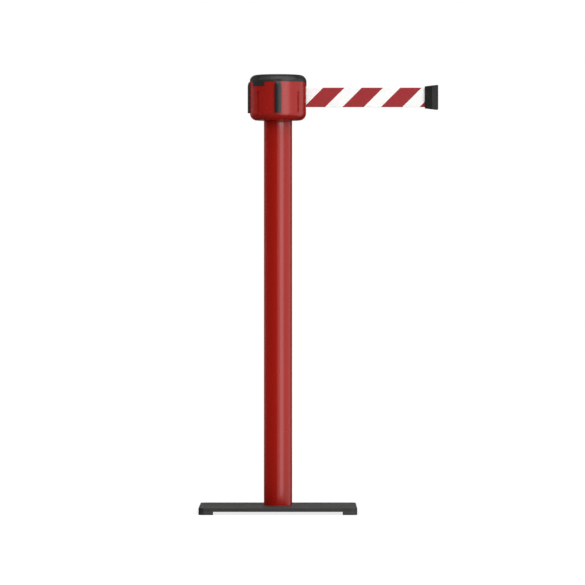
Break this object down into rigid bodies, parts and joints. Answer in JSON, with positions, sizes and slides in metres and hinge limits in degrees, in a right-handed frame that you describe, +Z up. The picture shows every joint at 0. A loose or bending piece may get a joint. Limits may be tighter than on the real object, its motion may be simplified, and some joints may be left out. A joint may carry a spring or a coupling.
{
  "type": "retractable belt barrier post",
  "caption": "Round red barrier post on a square black base, with a domed head, upright receiver rails and a striped pull-out belt with a clip.",
  "frame": {"origin": "the post's axis where it meets the floor", "axes": "+Z up along the post, +X the way the belt leaves the head, -Y the side of the front receiver"},
  "size_m": [0.5321, 0.35, 0.976],
  "materials": {
    "base_black": "fine-textured black powder coat",
    "foot_black": "matt black moulded plastic",
    "post_red": "smooth gloss red powder coat",
    "head_red": "gloss red moulded plastic",
    "cap_black": "satin black moulded plastic",
    "rail_black": "satin black moulded plastic",
    "clip_black": "satin black moulded plastic",
    "inner_plastic": "grey moulded plastic",
    "roller_plastic": "white low-friction plastic",
    "webbing": "woven webbing with red and white slanted stripes",
    "zinc_steel": "bright zinc plating",
    "plain_steel": "turned steel",
    "spring_steel": "blued spring strip",
    "bush_brass": "turned brass"
  },
  "bodies": {
    "stand": {"base_plate": "base_black", "post_bolt": "zinc_steel", "foot_screws": "zinc_steel", "bottom_plug": "plain_steel", "post_tube": "post_red", "top_plug": "inner_plastic", "head_housing": "head_red", "head_washer": "zinc_steel", "head_bolt": "zinc_steel", "receiver_front": "rail_black", "receiver_left": "rail_black", "receiver_back": "rail_black", "receiver_screws": "zinc_steel", "cap": "cap_black", "cap_screws": "zinc_steel", "cassette_base": "zinc_steel", "cassette_top": "zinc_steel", "cassette_posts": "zinc_steel", "cassette_screws": "zinc_steel", "lower_bush": "bush_brass", "upper_bush": "bush_brass", "belt_lead": "webbing", "belt_guide": "rail_black", "roller_pins": "plain_steel", "spring_case": "inner_plastic", "spring_lid": "inner_plastic", "spring_screws": "zinc_steel", "power_spring": "spring_steel", "foot_front_left": "foot_black", "foot_front_right": "foot_black", "foot_back_left": "foot_black", "foot_back_right": "foot_black"},
    "spool": {"axle": "plain_steel", "spool": "inner_plastic", "spool_flange": "inner_plastic", "spool_pin": "plain_steel", "belt_coil": "webbing"},
    "roller_near": {"guide_roller_near": "roller_plastic"},
    "roller_far": {"guide_roller_far": "roller_plastic"},
    "belt_end": {"belt_strap": "webbing", "clip_front": "clip_black", "clip_back": "clip_black", "clip_bar": "plain_steel", "clip_screws": "zinc_steel"}
  },
  "joints": [
    {"name": "belt_pull", "type": "slide", "parent": "stand", "child": "belt_end", "axis": [1, 0, 0], "range_m": [-0.2632, 3], "stiffness_N_per_m": 2, "springref_m": -2.5, "deforming": ["belt_strap"]},
    {"name": "spool_spin", "type": "hinge", "parent": "stand", "child": "spool", "pos_m": [0, 0, 0.925], "axis": [0, 0, 1], "range_deg": [-489.1, 5523], "deforming": ["power_spring"]},
    {"name": "roller_near_spin", "type": "hinge", "parent": "stand", "child": "roller_near", "pos_m": [0.051, -0.00465, 0.925], "axis": [0, 0, 1], "continuous": true},
    {"name": "roller_far_spin", "type": "hinge", "parent": "stand", "child": "roller_far", "pos_m": [0.051, 0.00465, 0.925], "axis": [0, 0, 1], "continuous": true}
  ],
  "couplings": [
    {"joint": "spool_spin", "follows": "belt_pull", "rad_per_m": 32.103},
    {"joint": "roller_near_spin", "follows": "belt_pull", "rad_per_m": -215.05},
    {"joint": "roller_far_spin", "follows": "belt_pull", "rad_per_m": 215.05}
  ]
}
